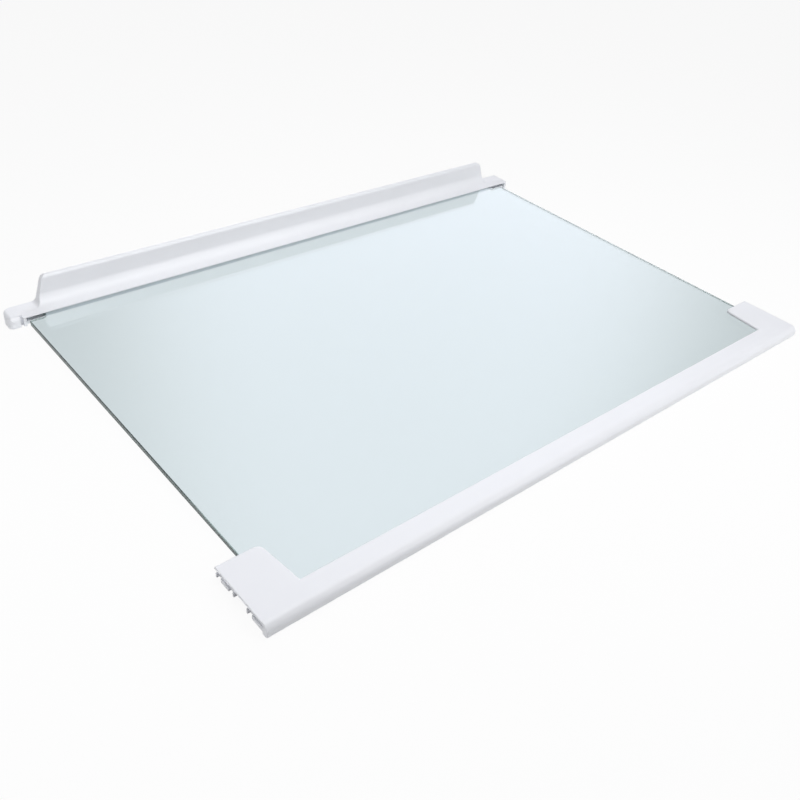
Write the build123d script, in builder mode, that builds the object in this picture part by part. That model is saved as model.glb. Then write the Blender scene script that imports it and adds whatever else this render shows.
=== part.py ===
"""Fridge glass shelf: a toughened pane held in a moulded front trim and a moulded rear trim.

Millimetres. +X runs to the right, +Y to the back and +Z up. The origin is on the underside,
in the middle of the shelf's box.
"""

import os

from build123d import *

# Whole shelf
shelf_width = 521.0
shelf_depth = 355.0

# Glass pane
glass_thickness = 4.0
glass_margin_left = 15.9
glass_margin_right = 12.4
glass_arris = 0.4
glass_corner_radius = 2.0
notch_width = 13.0
notch_sight = 3.6
notch_radius = 3.0

# Channels that hold the pane: lip under it, cover over it, and the play around it
lower_lip = 2.55
cover_thickness = 1.9
slot_clearance = 0.05
end_clearance = 0.5
side_clearance = 0.3
lip_setback = 2.5

# Front trim: bar with a rounded nose
bar_depth = 17.5
nose_radius = 5.0
nose_wall = 3.0
nose_flat = 1.5
nose_foot_radius = 1.2
edge_radius = 1.4
window_length = 22.0
window_pitch = 52.0

# Front trim: ears over the front corners of the pane
ear_reach = 33.3
ear_root_width = 32.3
ear_tip_width = 28.8
ear_inner_radius = 5.0
ear_lip = 10.0
ear_rear_wall = 2.0
stop_rib = 1.7

# Front trim: grooved sides of the ears, with a locating notch
side_cover = 1.2
side_edge_radius = 0.5
groove_height = 4.5
groove_depth = 2.7
groove_front = 4.0
side_web = 1.8
band_inset = 1.0
side_notch_start = 3.1
side_notch_length = 12.1
band_rib = 1.2
band_gap = 4.0

# Rear trim: channel, flange and back stop
rear_depth = 17.4
rear_web = 3.3
flange_tip = 0.5
flange_rise = 1.25
back_stop_rise = 20.6
back_stop_thickness = 4.0
back_stop_lean = 1.8
back_stop_foot_radius = 9.0
back_stop_front_radius = 2.6
back_stop_rear_radius = 0.9
back_stop_left_inset = 16.0
back_stop_right_inset = 24.0
back_stop_end_slope = 6.5
back_stop_corner_radius = 5.0
back_stop_end_radius = 4.5
end_wall = 2.0
end_radius = 1.2

# Rear trim: block on the left end, which stops short of the front trim's side
rear_left_inset = 3.0
block_length = 8.0
block_setback = 0.4
block_back_radius = 8.0
block_front_radius = 3.5
block_edge_radius = 3.0
block_groove = 2.2
block_groove_depth = 3.0
block_wall = 2.0

# Levels
seat_z = lower_lip
glass_top_z = seat_z + glass_thickness
cover_z = glass_top_z + slot_clearance
trim_height = cover_z + cover_thickness
back_stop_top = trim_height + back_stop_rise
groove_top_z = trim_height - side_cover
groove_z = groove_top_z - groove_height

# Places across the shelf
left = -shelf_width / 2
right = shelf_width / 2
glass_left = left + glass_margin_left
glass_right = right - glass_margin_right
rear_left = left + rear_left_inset
block_right = rear_left + block_length
channel_left = block_right + block_groove
back_stop_left = channel_left + back_stop_left_inset
back_stop_right = right - back_stop_right_inset

# Places from front to back
front = -shelf_depth / 2
back = shelf_depth / 2
bar_back = front + bar_depth
ear_back = bar_back + ear_reach
flange_front = back - rear_depth
glass_front = front + nose_wall + end_clearance
glass_back = back - rear_web - end_clearance
block_front = flange_front + block_setback
notch_front = flange_front - notch_sight
side_notch_front = bar_back + side_notch_start
side_notch_back = side_notch_front + side_notch_length

# Roundings, held inside the walls they sit on by the share each may take
front_share = 0.7
rear_share = 0.25
brow_share = 0.9
nose_round = min(nose_radius, trim_height - nose_flat)
back_stop_front_round = min(back_stop_front_radius, front_share * back_stop_thickness)
back_stop_rear_round = min(back_stop_rear_radius, rear_share * back_stop_thickness)
block_round = min(block_edge_radius, brow_share * block_front_radius)

# How far a cut runs past the face it opens through
past = 1.0


def rectangle_between(x_low, x_high, y_low, y_high):
    """Adds to the open sketch the rectangle with these sides."""
    with Locations(((x_low + x_high) / 2, (y_low + y_high) / 2)):
        Rectangle(x_high - x_low, y_high - y_low)


# Glass pane: a plate with notched rear corners and a ground arris all round
with BuildPart() as glass_pane:
    with BuildSketch(Plane.XY.offset(seat_z)) as pane_outline:
        with BuildLine():
            Polyline(
                (glass_left, glass_front),
                (glass_right, glass_front),
                (glass_right, notch_front),
                (glass_right - notch_width, notch_front),
                (glass_right - notch_width, glass_back),
                (glass_left + notch_width, glass_back),
                (glass_left + notch_width, notch_front),
                (glass_left, notch_front),
                close=True,
            )
        make_face()
        shoulders = pane_outline.vertices().group_by(Axis.Y)[-2].sort_by(Axis.X)
        fillet([shoulders[0], shoulders[-1]], glass_corner_radius)
        shoulders = pane_outline.vertices().group_by(Axis.Y)[-2].sort_by(Axis.X)
        fillet(shoulders[1:3], notch_radius)
        corners = pane_outline.vertices().group_by(Axis.Y)
        fillet(corners[0] + corners[-1], glass_corner_radius)
    extrude(amount=glass_thickness)
    rims = glass_pane.faces().filter_by(Axis.Z).edges()
    chamfer(rims, glass_arris)
glass_pane.part.label = "glass_pane"

# Front trim: one moulding, a bar across the front and an ear over each front corner
with BuildPart() as front_trim:
    with BuildSketch() as trim_plan:
        with BuildLine():
            Polyline(
                (left, front),
                (right, front),
                (right, ear_back),
                (right - ear_tip_width, ear_back),
                (right - ear_root_width, bar_back),
                (left + ear_root_width, bar_back),
                (left + ear_tip_width, ear_back),
                (left, ear_back),
                close=True,
            )
        make_face()
        ear_corners = trim_plan.vertices().group_by(Axis.Y)[-1].sort_by(Axis.X)
        fillet(ear_corners[1:3], ear_inner_radius)
    extrude(amount=trim_height)

    # Rounded nose, then a soft edge along the top's rear side and a finer one along its ends
    front_edges = front_trim.edges().filter_by(Axis.X).group_by(Axis.Y)[0].sort_by(Axis.Z)
    fillet(front_edges[-1], nose_round)
    front_edges = front_trim.edges().filter_by(Axis.X).group_by(Axis.Y)[0].sort_by(Axis.Z)
    fillet(front_edges[0], nose_foot_radius)
    top_edges = front_trim.faces().sort_by(Axis.Z)[-1].edges().sort_by(Axis.X)
    fillet(top_edges[1:-1].sort_by(Axis.Y)[1:], edge_radius)
    top_edges = front_trim.faces().sort_by(Axis.Z)[-1].edges().sort_by(Axis.X)
    fillet([top_edges[0], top_edges[-1]], side_edge_radius)

    # Channel for the front edge and the front corners of the pane
    with BuildSketch(Plane.XY.offset(seat_z)):
        rectangle_between(
            glass_left - side_clearance,
            glass_right + side_clearance,
            front + nose_wall,
            ear_back + past,
        )
    extrude(amount=cover_z - seat_z, mode=Mode.SUBTRACT)

    # Lip under the pane, drawn back from the cover's edge and cut into tabs along the bar
    lip_back = bar_back - lip_setback
    tab_span = glass_right - glass_left - 2 * ear_lip
    window_count = int((tab_span - window_length) // window_pitch) + 1
    with BuildSketch():
        rectangle_between(glass_left + ear_lip, glass_right - ear_lip, lip_back, ear_back + past)
        rectangle_between(glass_left - side_clearance, glass_right + side_clearance,
                          ear_back - lip_setback, ear_back + past)
        with Locations(((glass_left + glass_right) / 2, (front + nose_wall + lip_back) / 2)):
            with GridLocations(window_pitch, 1, window_count, 1):
                Rectangle(window_length, lip_back - front - nose_wall)
    extrude(amount=seat_z, mode=Mode.SUBTRACT)

    # Hollow between the ear's side and the rib that stops the pane, open underneath
    pocket_sides = (
        (left + groove_depth + side_web, glass_left - side_clearance - stop_rib),
        (glass_right + side_clearance + stop_rib, right - groove_depth - side_web),
    )
    with BuildSketch():
        for pocket_low, pocket_high in pocket_sides:
            rectangle_between(pocket_low, pocket_high, front + nose_wall,
                              side_notch_front - band_rib)
            rectangle_between(pocket_low, pocket_high, side_notch_front, side_notch_back)
            rectangle_between(pocket_low, pocket_high, side_notch_back + band_rib,
                              ear_back - ear_rear_wall)
    extrude(amount=cover_z, mode=Mode.SUBTRACT)

    # Side of each ear: a groove under the cover and an inset band below it, with a gap at the
    # ear's rear end and one on each side of the notch
    with BuildSketch(Plane.XY.offset(groove_z)):
        rectangle_between(left - past, left + groove_depth, front + groove_front, ear_back + past)
        rectangle_between(right - groove_depth, right + past, front + groove_front,
                          ear_back + past)
    extrude(amount=groove_height, mode=Mode.SUBTRACT)
    with BuildSketch():
        rectangle_between(left - past, left + band_inset, front + groove_front, ear_back + past)
        rectangle_between(right - band_inset, right + past, front + groove_front, ear_back + past)
        for side_low, side_high in (
            (left - past, left + groove_depth),
            (right - groove_depth, right + past),
        ):
            rectangle_between(side_low, side_high, side_notch_front - band_rib - band_gap,
                              side_notch_front - band_rib)
            rectangle_between(side_low, side_high, side_notch_back + band_rib,
                              side_notch_back + band_rib + band_gap)
            rectangle_between(side_low, side_high, ear_back - band_rib - band_gap, ear_back - band_rib)
    extrude(amount=groove_top_z, mode=Mode.SUBTRACT)

    # Locating notch, through the band and the wall behind it
    with BuildSketch():
        rectangle_between(left - past, left + groove_depth + side_web,
                          side_notch_front, side_notch_back)
        rectangle_between(right - groove_depth - side_web, right + past,
                          side_notch_front, side_notch_back)
    extrude(amount=groove_top_z, mode=Mode.SUBTRACT)
front_trim.part.label = "front_trim"

# Rear trim: one moulding, a channel with an upstanding back stop and low ends
with BuildPart() as rear_trim:
    # Block on the left end: a section with a round brow, inside a plan with round corners
    with BuildSketch(Plane.YZ.offset(rear_left)) as block_section:
        rectangle_between(block_front, back, 0, trim_height)
        fillet(block_section.vertices().group_by(Axis.X)[0].sort_by(Axis.Y)[-1], block_round)
    extrude(amount=channel_left - rear_left)
    with BuildSketch() as block_plan:
        rectangle_between(rear_left, channel_left, block_front, back)
        fillet(block_plan.vertices().group_by(Axis.X)[0].sort_by(Axis.Y)[-1], block_back_radius)
        fillet(block_plan.vertices().group_by(Axis.X)[0].sort_by(Axis.Y)[0], block_front_radius)
    extrude(amount=trim_height, mode=Mode.INTERSECT)

    # Channel, flange and back stop, drawn as one section and run to the right end
    with BuildSketch(Plane.YZ.offset(channel_left)) as rear_section:
        with BuildLine():
            Polyline(
                (flange_front, 0),
                (back, 0),
                (back, back_stop_top),
                (back - back_stop_thickness, back_stop_top),
                (back - back_stop_thickness - back_stop_lean, trim_height + flange_rise),
                (flange_front, cover_z + flange_tip),
                close=True,
            )
        make_face()
        foot_corner = rear_section.vertices().group_by(Axis.Y)[-2]
        fillet(foot_corner, back_stop_foot_radius)
        top_corner = rear_section.vertices().group_by(Axis.Y)[-1].sort_by(Axis.X)[0]
        fillet(top_corner, back_stop_front_round)
        rear_corner = rear_section.vertices().group_by(Axis.Y)[-1].sort_by(Axis.X)[-1]
        fillet(rear_corner, back_stop_rear_round)
    extrude(amount=right - channel_left)

    # The back stop ends short of the trim's ends, with sloped and rounded shoulders
    with BuildSketch(Plane.XZ) as rear_outline:
        with BuildLine():
            Polyline(
                (rear_left, 0),
                (right, 0),
                (right, trim_height),
                (back_stop_right, trim_height),
                (back_stop_right - back_stop_end_slope, back_stop_top),
                (back_stop_left + back_stop_end_slope, back_stop_top),
                (back_stop_left, trim_height),
                (rear_left, trim_height),
                close=True,
            )
        make_face()
        shoulder_row = rear_outline.vertices().group_by(Axis.Y)[1].sort_by(Axis.X)
        fillet(shoulder_row[1:3], back_stop_end_radius)
        fillet(rear_outline.vertices().group_by(Axis.Y)[-1], back_stop_corner_radius)
        fillet(rear_outline.vertices().group_by(Axis.X)[0].sort_by(Axis.Y)[-1], block_round)
        fillet(rear_outline.vertices().group_by(Axis.X)[-1].sort_by(Axis.Y)[-1], end_radius)
    extrude(amount=shelf_depth, both=True, mode=Mode.INTERSECT)

    # Channel for the rear edge of the pane, closed by a wall at each end
    with BuildSketch(Plane.XY.offset(seat_z)):
        rectangle_between(channel_left + end_wall, right - end_wall,
                          flange_front - past, back - rear_web)
    extrude(amount=cover_z - seat_z, mode=Mode.SUBTRACT)
    with BuildSketch():
        rectangle_between(channel_left + end_wall, right - end_wall,
                          flange_front - past, flange_front + lip_setback)
    extrude(amount=seat_z, mode=Mode.SUBTRACT)

    # Groove that sets the block off from the channel, and its hollow underside
    with BuildSketch():
        rectangle_between(block_right, channel_left,
                          flange_front - past, flange_front + block_groove_depth)
    extrude(amount=trim_height, mode=Mode.SUBTRACT)
    with BuildSketch():
        add(block_plan.sketch)
        offset(amount=-block_wall, mode=Mode.REPLACE)
        with Locations(((rear_left + block_right - block_wall) / 2, 0)):
            Rectangle(block_length - block_wall, shelf_depth, mode=Mode.INTERSECT)
    extrude(amount=trim_height - block_wall, mode=Mode.SUBTRACT)
rear_trim.part.label = "rear_trim"

os.makedirs("parts", exist_ok=True)
export_step(glass_pane.part, "parts/glass_pane.step")
export_step(front_trim.part, "parts/front_trim.step")
export_step(rear_trim.part, "parts/rear_trim.step")
print("shelf", shelf_width, shelf_depth, back_stop_top)
print("pane", glass_right - glass_left, glass_back - glass_front, glass_thickness)
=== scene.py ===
# %% [markdown]
# # A glass shelf for a refrigerator
#
# The shelf is a toughened glass pane with a white moulded trim pushed onto its front edge and
# another on its rear edge. All three shapes come ready from the CAD model, which is loaded here
# as a fixed frame, so nothing has to be modelled again. A moulding could be remodelled by hand
# with subdivision surfaces, but the CAD solids already hold every radius, groove and channel.
# What is left for Blender is what CAD can't say: how the plastic and the glass look.

# %% Load the shelf
import math

import bmesh
import bpy
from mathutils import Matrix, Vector


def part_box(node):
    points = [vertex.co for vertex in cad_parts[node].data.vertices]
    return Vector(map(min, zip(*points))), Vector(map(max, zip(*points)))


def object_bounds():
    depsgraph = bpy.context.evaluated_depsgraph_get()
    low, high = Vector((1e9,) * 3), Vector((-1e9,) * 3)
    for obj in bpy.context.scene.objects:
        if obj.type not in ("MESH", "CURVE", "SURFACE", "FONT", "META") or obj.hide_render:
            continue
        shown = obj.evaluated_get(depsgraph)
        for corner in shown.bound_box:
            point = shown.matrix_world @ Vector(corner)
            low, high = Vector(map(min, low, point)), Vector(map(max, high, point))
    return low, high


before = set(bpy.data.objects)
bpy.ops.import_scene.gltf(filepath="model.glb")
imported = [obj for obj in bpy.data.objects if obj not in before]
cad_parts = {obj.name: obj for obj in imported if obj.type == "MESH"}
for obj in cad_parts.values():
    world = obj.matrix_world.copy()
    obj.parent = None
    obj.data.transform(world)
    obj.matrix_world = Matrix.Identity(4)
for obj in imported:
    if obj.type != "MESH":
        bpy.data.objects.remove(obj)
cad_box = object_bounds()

shelf_width, shelf_depth, shelf_height = (high - low for low, high in zip(*cad_box))
print(f"shelf: {shelf_width:.3f} x {shelf_depth:.3f} x {shelf_height:.4f} m")

# %% [markdown]
# ## The camera
#
# The photograph looks down on the shelf over its front left corner. A camera can be nudged until
# the render looks right, or worked out from points whose place on the shelf is known. The second
# way is used, because the corners of the trims are easy to find in the picture. The picture is
# square, so the focal length in pixels over its width gives the lens for a 36 mm sensor.

# %% Set up the camera
photo_side = 800
focal_pixels = 878.78
sensor_width = 36.0
camera_place = (-0.41657, -0.41436, 0.36577)
camera_turn = (53.18, -5.108, -40.357)

camera_data = bpy.data.cameras.new("shelf_camera")
camera_data.sensor_width = sensor_width
camera_data.lens = focal_pixels / photo_side * sensor_width
camera = bpy.data.objects.new("shelf_camera", camera_data)
camera.location = camera_place
camera.rotation_euler = [math.radians(turn) for turn in camera_turn]
bpy.context.scene.collection.objects.link(camera)
bpy.context.scene.camera = camera
print(f"camera: {camera_data.lens:.2f} mm lens, {camera.location.length:.3f} m from the origin")

# %% [markdown]
# ## Shader sums as Python
#
# A material's node tree can be wired by hand, one Math node after another, but the sums are then
# hard to read. This small class wraps one output socket. Adding or multiplying wrapped sockets
# adds the Math node, and `node` adds any other kind of node.

# %% Wrap the sockets
class Wire:
    """An output socket of a node tree, on which sums add Math nodes."""

    def __init__(self, tree, socket=None):
        self.tree = tree
        self.socket = socket

    def node(self, kind, settings=None, values=None, out=0):
        """Adds a node, sets it up, feeds its inputs, and wraps one of its outputs."""
        made = self.tree.nodes.new(kind)
        for name, setting in (settings or {}).items():
            setattr(made, name, setting)
        for name, value in (values or {}).items():
            if isinstance(value, Wire):
                self.tree.links.new(value.socket, made.inputs[name])
            else:
                made.inputs[name].default_value = value
        return Wire(self.tree, made.outputs[out] if made.outputs else None)

    def sum(self, operation, first, second):
        """Adds a Math node for two sockets or numbers."""
        return self.node("ShaderNodeMath", {"operation": operation}, {0: first, 1: second})

    def __add__(self, other):
        return self.sum("ADD", self, other)

    __radd__ = __add__

    def __rsub__(self, other):
        return self.sum("SUBTRACT", other, self)

    def __mul__(self, other):
        return self.sum("MULTIPLY", self, other)

    __rmul__ = __mul__

    def __abs__(self):
        return self.sum("ABSOLUTE", self, 0.0)

    def larger(self, other):
        """The larger of this and another value."""
        return self.sum("MAXIMUM", self, other)

    def mix_colour(self, low, high):
        """The colour between low and high that this factor picks."""
        return self.node(
            "ShaderNodeMix",
            {"data_type": "RGBA"},
            {"Factor": self, 6: low, 7: high},
            out=2,
        )


def new_material(name):
    """An empty material and the start of its node tree."""
    material = bpy.data.materials.new(name)
    material.use_nodes = True
    material.node_tree.nodes.clear()
    return material, Wire(material.node_tree)


print("wire: sums on sockets are ready")

# %% [markdown]
# ## White moulded plastic
#
# Both trims are injection moulded in a cool white styrene. The tool leaves a fine, even grain on
# the skin, and the skin is a little glossier in some places than in others, where the melt met
# the steel first. A plain white shader would look like paper. Two sizes of noise give the grain
# and the uneven gloss instead, on Object coordinates, so both trims share one scale in metres.
# Moulded edges are never sharp, so a Bevel node softens the light on every edge by a hair.

# %% Mix the plastic
grain_per_metre = 2600.0
grain_height = 0.00006
gloss_per_metre = 38.0
plastic_edge = 0.0004
plastic_dull = (0.815, 0.828, 0.865, 1.0)
plastic_bright = (0.842, 0.855, 0.892, 1.0)


def moulded_plastic(name):
    """White plastic with a fine grain and an uneven gloss."""
    material, start = new_material(name)
    place = start.node("ShaderNodeTexCoord", out="Object")
    grain = start.node(
        "ShaderNodeTexNoise",
        {"noise_dimensions": "3D"},
        {"Vector": place, "Scale": grain_per_metre, "Detail": 2.0, "Roughness": 0.5},
    )
    flow = start.node(
        "ShaderNodeTexNoise",
        {"noise_dimensions": "3D"},
        {"Vector": place, "Scale": gloss_per_metre, "Detail": 3.0, "Roughness": 0.55},
    )
    soft_edge = start.node("ShaderNodeBevel", {"samples": 6}, {"Radius": plastic_edge})
    skin = start.node(
        "ShaderNodeBump",
        None,
        {"Strength": 0.12, "Distance": grain_height, "Height": grain, "Normal": soft_edge},
    )
    plastic = start.node(
        "ShaderNodeBsdfPrincipled",
        None,
        {
            "Base Color": flow.mix_colour(plastic_dull, plastic_bright),
            "Roughness": 0.30 + 0.10 * flow + 0.06 * grain,
            "IOR": 1.5,
            "Normal": skin,
        },
    )
    start.node("ShaderNodeOutputMaterial", None, {"Surface": plastic})
    return material


white_plastic = moulded_plastic("white_plastic")
for trim in ("front_trim", "rear_trim"):
    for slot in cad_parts[trim].material_slots:
        slot.material = white_plastic
print(f"white plastic: grain of {1000 / grain_per_metre:.2f} mm on both trims")

# %% [markdown]
# ## Toughened glass
#
# The pane is float glass, cut, ground along its edges and then toughened. From above it is nearly
# clear, with a faint green cast from the iron in it. The faces' colour is darker than that cast
# alone: part of it is painted shade for the floor under the pane, which shines white by itself
# and so takes almost no shade there. A look through a ground edge goes through far more glass, so
# the edge is a dark bottle green, and the grinding leaves it satin. Volume absorption could give
# that, but it is slow and a plain viewer drops it. Here the surface's own normal tells a face
# from an
# edge: faces point up or down, and edges don't. At an edge the glass is a darker green and
# rougher, and a share of a plain green surface stands for the light that the ground skin
# scatters.
# A rolling furnace leaves a very slight wave in the faces, which a long, shallow bump gives.
# Lamps have to reach what is under the pane, so shadow rays meet a tinted Transparent shader and
# all others meet glass.

# %% Mix the glass
wave_per_metre = 14.0
wave_height = 0.00005
edge_slope, face_slope = 0.85, 0.98
edge_green = (0.47, 0.63, 0.60, 1.0)
# The faces' colour: the glass's faint green cast, darkened further as painted shade for the floor
# under the pane.
face_cast_and_shade = (0.686, 0.765, 0.790, 1.0)
ground_green = (0.30, 0.48, 0.46, 1.0)
ground_share = 0.3
lamp_tint = (0.94, 0.97, 0.97, 1.0)


def shelf_glass(name):
    """Glass with clear faces and green, ground edges."""
    material, start = new_material(name)
    place = start.node("ShaderNodeTexCoord", out="Object")
    facing = start.node("ShaderNodeNewGeometry", out="Normal")
    upright = start.node("ShaderNodeSeparateXYZ", None, {"Vector": facing}, out="Z")
    flatness = abs(upright)
    face = start.node(
        "ShaderNodeMapRange",
        {"interpolation_type": "SMOOTHSTEP"},
        {"Value": flatness, "From Min": edge_slope, "From Max": face_slope},
    )
    wave = start.node(
        "ShaderNodeTexNoise",
        {"noise_dimensions": "3D"},
        {"Vector": place, "Scale": wave_per_metre, "Detail": 1.0},
    )
    rolled = start.node(
        "ShaderNodeBump", None, {"Strength": 0.1, "Distance": wave_height, "Height": wave}
    )
    clear = start.node(
        "ShaderNodeBsdfPrincipled",
        None,
        {
            "Base Color": face.mix_colour(edge_green, face_cast_and_shade),
            "Roughness": 0.15 * (1 - face),
            "IOR": 1.5,
            "Transmission Weight": 1.0,
            "Normal": rolled,
        },
    )
    ground = start.node(
        "ShaderNodeBsdfPrincipled",
        None,
        {"Base Color": ground_green, "Roughness": 0.5, "IOR": 1.5},
    )
    edged = start.node(
        "ShaderNodeMixShader", None, {0: ground_share * (1 - face), 1: clear, 2: ground}
    )
    shadow_ray = start.node("ShaderNodeLightPath", out="Is Shadow Ray")
    let_through = start.node("ShaderNodeBsdfTransparent", None, {"Color": lamp_tint})
    pane = start.node("ShaderNodeMixShader", None, {0: shadow_ray, 1: edged, 2: let_through})
    start.node("ShaderNodeOutputMaterial", None, {"Surface": pane})
    return material


glass = shelf_glass("shelf_glass")
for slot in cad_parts["glass_pane"].material_slots:
    slot.material = glass
low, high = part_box("glass_pane")
print(f"glass: {high[0] - low[0]:.3f} x {high[1] - low[1]:.3f} m, {high[2] - low[2]:.4f} m thick")

# %% [markdown]
# ## The floor
#
# The shelf lies on a white sheet that fills the picture. Its white could come from strong lamps,
# but they would bleach the trims. Instead, most of what the camera sees of the floor shines by
# itself at a strength of 1, which is white. The small rest is a plain matt white that takes the
# shelf's shadow. Mirrors and glass see the same floor as the camera does.

# %% Lay the floor
floor_reach = 8.0
floor_drop = 0.0002
shine_share = 0.92
sheet_white = (0.85, 0.85, 0.85, 1.0)


def seen_ray(start):
    """1 for what the camera sees, straight or in a mirror or through glass, and otherwise 0."""
    seen = start.node("ShaderNodeLightPath", out="Is Camera Ray")
    for ray in ("Is Glossy Ray", "Is Transmission Ray"):
        seen = seen.larger(start.node("ShaderNodeLightPath", out=ray))
    return seen


def white_sheet(name):
    """A floor that mostly shines white by itself and takes a faint shadow."""
    material, start = new_material(name)
    matt = start.node("ShaderNodeBsdfDiffuse", None, {"Color": sheet_white})
    shine = start.node("ShaderNodeEmission", None, {"Strength": 1.0})
    share = shine_share * seen_ray(start)
    mixed = start.node("ShaderNodeMixShader", None, {0: share, 1: matt, 2: shine})
    start.node("ShaderNodeOutputMaterial", None, {"Surface": mixed})
    return material


sheet_mesh = bpy.data.meshes.new("floor")
sheet = bmesh.new()
bmesh.ops.create_grid(sheet, x_segments=1, y_segments=1, size=floor_reach)
bmesh.ops.translate(sheet, verts=sheet.verts, vec=(0.0, 0.0, -floor_drop))
sheet.to_mesh(sheet_mesh)
sheet.free()
floor = bpy.data.objects.new("floor", sheet_mesh)
floor.data.materials.append(white_sheet("white_sheet"))
bpy.context.scene.collection.objects.link(floor)
print(f"floor: {2 * floor_reach:.0f} m square")

# %% [markdown]
# ## The room
#
# The pane mirrors what stands behind the shelf. A pale blue wall there gives the glass its sheen,
# and the wall fades into a dimmer room on either side, so the sheen fades towards the pane's left
# edge and right corner. A large area lamp could be the wall, but its straight rim would show in
# the glass. The world's own direction gives a patch that fades, and squashing the height of that
# direction makes the patch tall, as a wall is. Its turn counts from straight behind the shelf
# towards the right. Past the end of the floor, what the camera, mirrors and glass see of the
# world is a low band of plain white at a strength of 1.

# %% Paint the room
wall_turn = math.radians(43.5)
wall_middle, wall_rim = math.cos(math.radians(8.0)), math.cos(math.radians(28.0))
wall_squash = (1.0, 1.0, 0.2)
wall_level = 1.72
wall_blue = (0.905, 0.91, 1.0, 1.0)
room_level = 0.08
room_white = (1.0, 1.0, 1.0, 1.0)
band_full, band_end = math.sin(math.radians(14.0)), math.sin(math.radians(20.0))

world = bpy.data.worlds.new("studio")
world.use_nodes = True
world.node_tree.nodes.clear()
start = Wire(world.node_tree)
look = start.node("ShaderNodeTexCoord", out="Generated")
squashed = start.node(
    "ShaderNodeVectorMath", {"operation": "MULTIPLY"}, {0: look, 1: wall_squash}
)
bearing = start.node("ShaderNodeVectorMath", {"operation": "NORMALIZE"}, {0: squashed})
towards = start.node(
    "ShaderNodeVectorMath",
    {"operation": "DOT_PRODUCT"},
    {0: bearing, 1: (math.sin(wall_turn), math.cos(wall_turn), 0.0)},
    out="Value",
)
wall = start.node(
    "ShaderNodeMapRange",
    {"interpolation_type": "SMOOTHERSTEP"},
    {"Value": towards, "From Min": wall_rim, "From Max": wall_middle},
)
height = start.node("ShaderNodeSeparateXYZ", None, {"Vector": look}, out="Z")
band = start.node(
    "ShaderNodeMapRange",
    {"interpolation_type": "SMOOTHSTEP"},
    {"Value": height, "From Min": band_end, "From Max": band_full},
)
shown = seen_ray(start) * band
sheen = wall * (1 - shown)
light = shown.larger(room_level + wall_level * sheen)
colour = sheen.mix_colour(room_white, wall_blue)
room = start.node("ShaderNodeBackground", None, {"Color": colour, "Strength": light})
start.node("ShaderNodeOutputWorld", None, {"Surface": room})
bpy.context.scene.world = world
print(f"room: a level of {room_level} with a wall at {room_level + wall_level:.2f}")

# %% [markdown]
# ## The lamps
#
# The trims are lit by three soft lamps: a broad one overhead for the tops and the back stop, one
# in front on the right for the nose, which goes grey towards the left, and a weaker one on the
# left for the side of the ear. The pane would mirror each lamp as a hard white rectangle. A
# photographer moves lamps out of the mirror's way, but that works for one view only. Light
# linking does it for every view: the lamps light the trims and the floor, and not the glass.
# A real pane also throws light onto the back stop, so a weak fourth lamp for the rear trim
# alone stands in for that, and a fifth from behind keeps that trim's back white.

# %% Hang the lamps
def area_lamp(name, size, watts, place, target, lit):
    """A rectangular lamp at a place, turned to face a target, that lights some pieces only."""
    lamp_data = bpy.data.lights.new(name, "AREA")
    lamp_data.shape = "RECTANGLE"
    lamp_data.size, lamp_data.size_y = size
    lamp_data.energy = watts
    lamp = bpy.data.objects.new(name, lamp_data)
    lamp.location = place
    lamp.rotation_euler = (Vector(target) - Vector(place)).to_track_quat("-Z", "Y").to_euler()
    bpy.context.scene.collection.objects.link(lamp)
    lamp.light_linking.receiver_collection = bpy.data.collections.new(name)
    for piece in lit:
        lamp.light_linking.receiver_collection.objects.link(piece)


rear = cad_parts["rear_trim"]
around = (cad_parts["front_trim"], rear, floor)
area_lamp(
    "overhead_lamp", size=(0.9, 0.35), watts=3.76,
    place=(-0.02, -0.13, 0.61), target=(0.02, 0.2, 0.0), lit=around,
)
area_lamp(
    "front_lamp", size=(0.3, 0.3), watts=2.2,
    place=(0.335, -0.765, 0.34), target=(0.2, -0.1, 0.0), lit=around,
)
area_lamp(
    "left_lamp", size=(0.5, 0.4), watts=0.98,
    place=(-0.75, 0.0, 0.3), target=(-0.25, 0.0, 0.0), lit=around,
)
area_lamp(
    "stop_lamp", size=(0.6, 0.3), watts=0.72,
    place=(-0.1, -0.7, 0.2), target=(-0.05, 0.17, 0.02), lit=(rear,),
)
area_lamp(
    "rear_lamp", size=(0.6, 0.25), watts=1.7,
    place=(0.0, 0.85, 0.15), target=(0.0, 0.17, 0.015), lit=(rear,),
)
bpy.context.scene.view_settings.view_transform = "Standard"
print("lamps: three for the trims and the floor, two for the rear trim, none for the glass")
